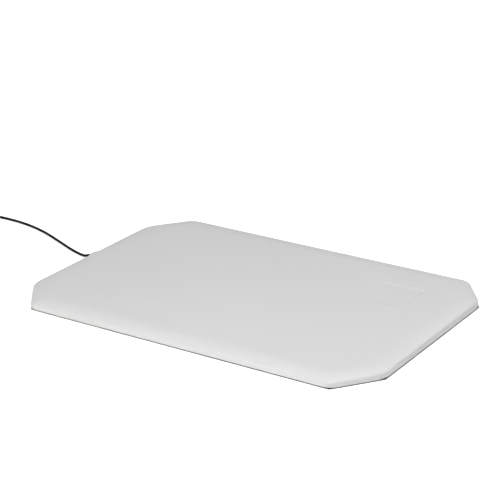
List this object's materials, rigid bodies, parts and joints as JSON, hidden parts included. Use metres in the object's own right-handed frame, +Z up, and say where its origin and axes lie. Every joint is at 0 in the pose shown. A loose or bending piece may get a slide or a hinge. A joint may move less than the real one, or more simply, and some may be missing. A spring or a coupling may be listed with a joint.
{
  "type": "pad antenna",
  "caption": "Low-profile eight-sided counter pad antenna with a sloped rim, label recess, rubber feet and a captive thin coax lead ending in a bayonet plug.",
  "frame": {"origin": "centre of the pad's footprint on the surface that its feet stand on", "axes": "+Z up; +X along the pad to the end with the label recess, so the lead leaves at -X; +Y to the long side nearer the label recess"},
  "size_m": [0.6422, 0.297, 0.0145],
  "materials": {
    "cover_plastic": "satin, fine moulded texture",
    "base_plastic": "matte",
    "foot_rubber": "matte",
    "screw_steel": "zinc plated",
    "label_film": "satin film",
    "board_laminate": "solder mask",
    "loop_copper": "copper foil",
    "part_ceramic": "fired ceramic",
    "part_ferrite": "sintered",
    "spacer_foam": "closed-cell foam",
    "lead_jacket": "satin PVC",
    "tie_nylon": "satin nylon",
    "boot_rubber": "matte",
    "plug_nickel": "nickel plated",
    "contact_gold": "gold flash",
    "plug_ptfe": "waxy"
  },
  "bodies": {
    "pad": {"antenna_board": "board_laminate", "balun_core": "part_ferrite", "base_plate": "base_plastic", "base_screw_1": "screw_steel", "base_screw_2": "screw_steel", "base_screw_3": "screw_steel", "base_screw_4": "screw_steel", "base_screw_5": "screw_steel", "base_screw_6": "screw_steel", "base_screw_7": "screw_steel", "base_screw_8": "screw_steel", "clamp_screw_1": "screw_steel", "clamp_screw_2": "screw_steel", "damping_resistor": "part_ferrite", "foam_spacer_back": "spacer_foam", "foam_spacer_front": "spacer_foam", "foam_spacer_left": "spacer_foam", "foam_spacer_right": "spacer_foam", "foot_back_centre": "foot_rubber", "foot_back_left": "foot_rubber", "foot_back_right": "foot_rubber", "foot_front_centre": "foot_rubber", "foot_front_left": "foot_rubber", "foot_front_right": "foot_rubber", "lead_clamp": "tie_nylon", "lead_coil": "lead_jacket", "lead_free": "lead_jacket", "lead_grommet": "foot_rubber", "lead_inner": "lead_jacket", "lead_tail": "lead_jacket", "lead_tie": "tie_nylon", "loop_inner": "loop_copper", "loop_outer": "loop_copper", "parallel_capacitor_1": "part_ceramic", "parallel_capacitor_2": "part_ceramic", "plug_body": "plug_nickel", "plug_boot": "boot_rubber", "plug_ferrule": "plug_nickel", "plug_insulator": "plug_ptfe", "plug_pin": "contact_gold", "rating_label": "label_film", "series_capacitor": "part_ceramic", "top_cover": "cover_plastic", "trimmer_stator": "part_ceramic"},
    "trimmer": {"trimmer_rotor": "contact_gold"},
    "coupling_nut": {"plug_nut": "plug_nickel"}
  },
  "joints": [
    {"name": "trimmer_turn", "type": "hinge", "parent": "pad", "child": "trimmer", "pos_m": [-0.165, 0.02, 0.0063], "axis": [0, 0, 1], "continuous": true},
    {"name": "coupling_nut_turn", "type": "hinge", "parent": "pad", "child": "coupling_nut", "pos_m": [-0.357, -0.0105, 0.0073], "axis": [1, 0, 0], "continuous": true}
  ]
}
